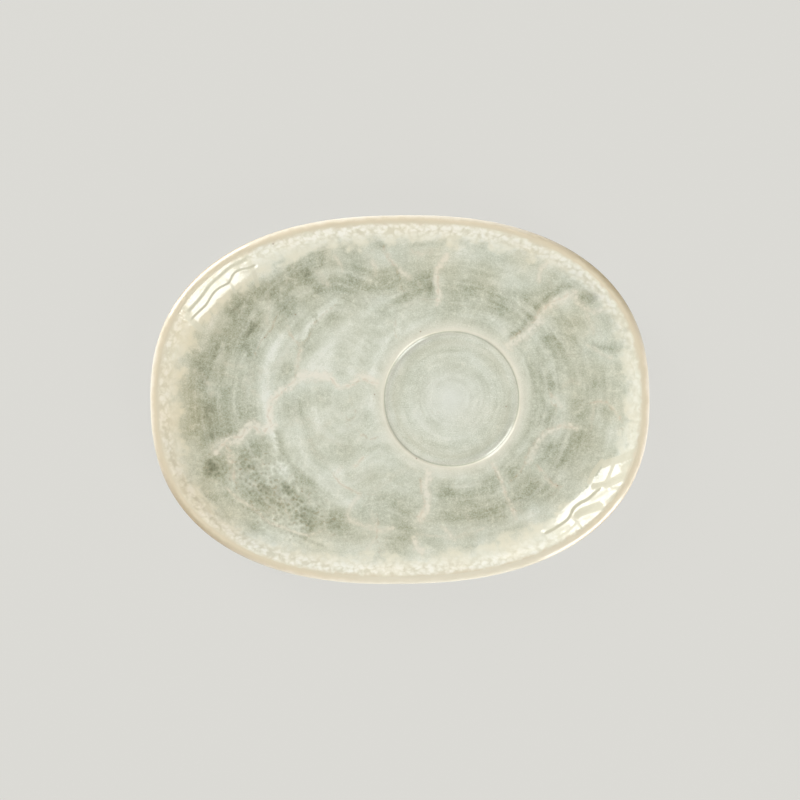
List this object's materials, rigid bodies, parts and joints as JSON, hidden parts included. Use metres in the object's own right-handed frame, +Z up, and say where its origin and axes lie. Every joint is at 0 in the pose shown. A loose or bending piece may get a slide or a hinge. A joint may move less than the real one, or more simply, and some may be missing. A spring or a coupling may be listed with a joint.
{
  "type": "oval saucer",
  "caption": "Oval stoneware saucer with a raised rounded rim, a round cup well set off its middle and a bare foot ring, under a grey-green reactive glaze.",
  "frame": {"origin": "on the table under the middle of the oval, at the bottom of the foot ring", "axes": "+X along the oval's length towards the cup well, +Y across its width, +Z up"},
  "size_m": [0.22, 0.1624, 0.0175],
  "materials": {
    "clay": "bare fired stoneware, matt",
    "celadon_glaze": "glossy grey-green reactive glaze with cream veins",
    "tan_glaze": "glossy thin tan glaze",
    "under_glaze": "glossy pale grey-green glaze"
  },
  "bodies": {
    "root": {"clay_body": "clay", "face_glaze": "celadon_glaze", "rim_band": "tan_glaze", "underside_glaze": "under_glaze", "base_glaze": "under_glaze"}
  },
  "joints": []
}
